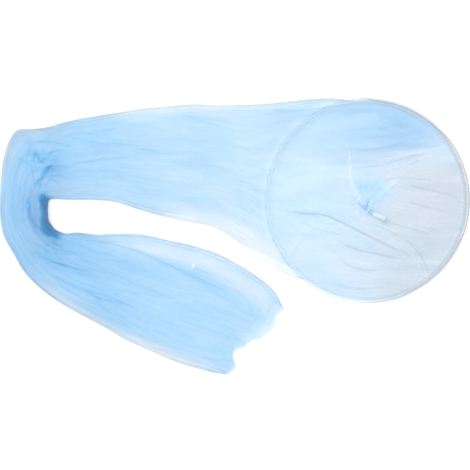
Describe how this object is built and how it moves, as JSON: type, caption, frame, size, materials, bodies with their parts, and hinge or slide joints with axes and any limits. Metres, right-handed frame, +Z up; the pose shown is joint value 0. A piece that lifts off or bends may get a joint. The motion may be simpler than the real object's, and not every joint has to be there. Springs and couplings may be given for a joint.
{
  "type": "net bed canopy with hoop",
  "caption": "Round-hoop bed canopy of plain pale blue sheer net, laid flat: hoop with its gathered crown up, long net skirt turned back on itself beside it.",
  "frame": {"origin": "on the floor, under the middle of the whole laid-out canopy", "axes": "+X from the folded skirt towards the hoop, +Y towards the leg of the skirt that leaves the hoop, +Z up through the crown"},
  "size_m": [1.3796, 0.8108, 0.0822],
  "materials": {
    "net_blue": "sheer fine net, pale blue",
    "crown_net": "sheer fine net, pale blue",
    "casing_tape": "narrow woven tape, pale blue",
    "white_tape": "narrow woven ribbon, bluish white",
    "hoop_wire": "thin coated wire"
  },
  "bodies": {
    "root": {"skirt": "net_blue", "crown": "crown_net", "hoop": "hoop_wire", "hoop_casing": "casing_tape", "crown_binding": "white_tape", "hanging_loop": "white_tape", "sewn_dot": "white_tape", "support_tape_right": "white_tape", "support_tape_top": "white_tape", "support_tape_left": "white_tape", "support_tape_bottom": "white_tape"}
  },
  "joints": []
}
